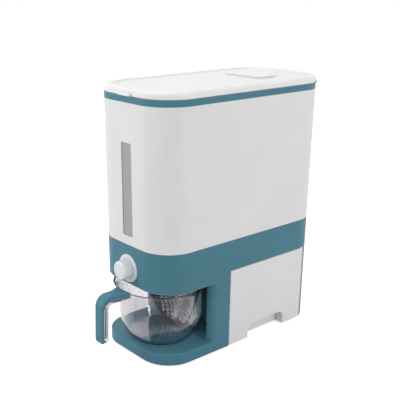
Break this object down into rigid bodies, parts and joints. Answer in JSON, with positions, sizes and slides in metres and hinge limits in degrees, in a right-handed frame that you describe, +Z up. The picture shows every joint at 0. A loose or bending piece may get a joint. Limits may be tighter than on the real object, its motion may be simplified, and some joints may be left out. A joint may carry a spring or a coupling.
{
  "type": "rice dispenser",
  "caption": "Standing rice dispenser: drafted tank with hinged lid on a base with push-button outlet, washing cup with strainer in an open alcove, and a side drawer.",
  "frame": {"origin": "on the floor, under the middle of the outline that runs from the cup's handle to the lid's hinges", "axes": "+Z up, -Y is the front with button and cup, +X is the side that the drawer slides out of"},
  "size_m": [0.1888, 0.4444, 0.4564],
  "materials": {
    "teal_abs": "satin moulded ABS, teal",
    "white_abs": "satin moulded ABS, white",
    "white_pp": "matte moulded PP, white",
    "drawer_pp": "matte moulded PP, pale grey",
    "grey_abs": "fine textured ABS, dark teal",
    "window_grey": "translucent smoked plastic",
    "clear_pc": "clear gloss polycarbonate",
    "smoke_pc": "clear smoke-grey plastic, perforated",
    "seal_rubber": "soft translucent silicone",
    "foot_rubber": "dull black rubber",
    "steel": "zinc-plated steel"
  },
  "bodies": {
    "root": {"base_shell": "teal_abs", "base_plate": "grey_abs", "base_screws": "steel", "rubber_feet": "foot_rubber", "tank_shell": "white_abs", "window_lens": "window_grey", "window_gasket": "seal_rubber", "hopper": "white_pp", "outlet_nozzle": "white_pp", "gate_housing": "white_pp", "housing_screws": "steel", "button_guide": "white_pp", "bezel_ring": "white_abs", "collar_ring": "teal_abs", "hinge_pins": "steel", "front_runner": "white_pp", "rear_runner": "white_pp", "runner_screws": "steel", "return_spring": "steel"},
    "lid": {"lid_shell": "white_abs", "lid_seal": "seal_rubber", "desiccant_cup": "white_pp"},
    "desiccant_cover": {"desiccant_cover": "white_abs"},
    "button": {"button_cap": "white_abs", "push_rod": "white_pp", "rod_screw": "steel", "gate_plate": "white_pp"},
    "cup": {"cup_bowl": "clear_pc", "handle_cover": "teal_abs", "strainer": "smoke_pc"},
    "drawer": {"drawer_front": "white_abs", "drawer_box": "drawer_pp", "drawer_screws": "steel"}
  },
  "joints": [
    {"name": "lid_hinge", "type": "hinge", "parent": "root", "child": "lid", "pos_m": [0, 0.21814, 0.438], "axis": [-1, 0, 0], "range_deg": [0, 100]},
    {"name": "cover_lift", "type": "slide", "parent": "lid", "child": "desiccant_cover", "axis": [0, 0, 1], "range_m": [0, 0.03]},
    {"name": "button_push", "type": "slide", "parent": "root", "child": "button", "axis": [0, 1, 0], "range_m": [0, 0.012], "stiffness_N_per_m": 250, "springref_m": -0.004, "deforming": ["return_spring"]},
    {"name": "cup_pull", "type": "slide", "parent": "root", "child": "cup", "axis": [0, -1, 0], "range_m": [0, 0.2]},
    {"name": "drawer_slide", "type": "slide", "parent": "root", "child": "drawer", "axis": [1, 0, 0], "range_m": [0, 0.12]}
  ]
}
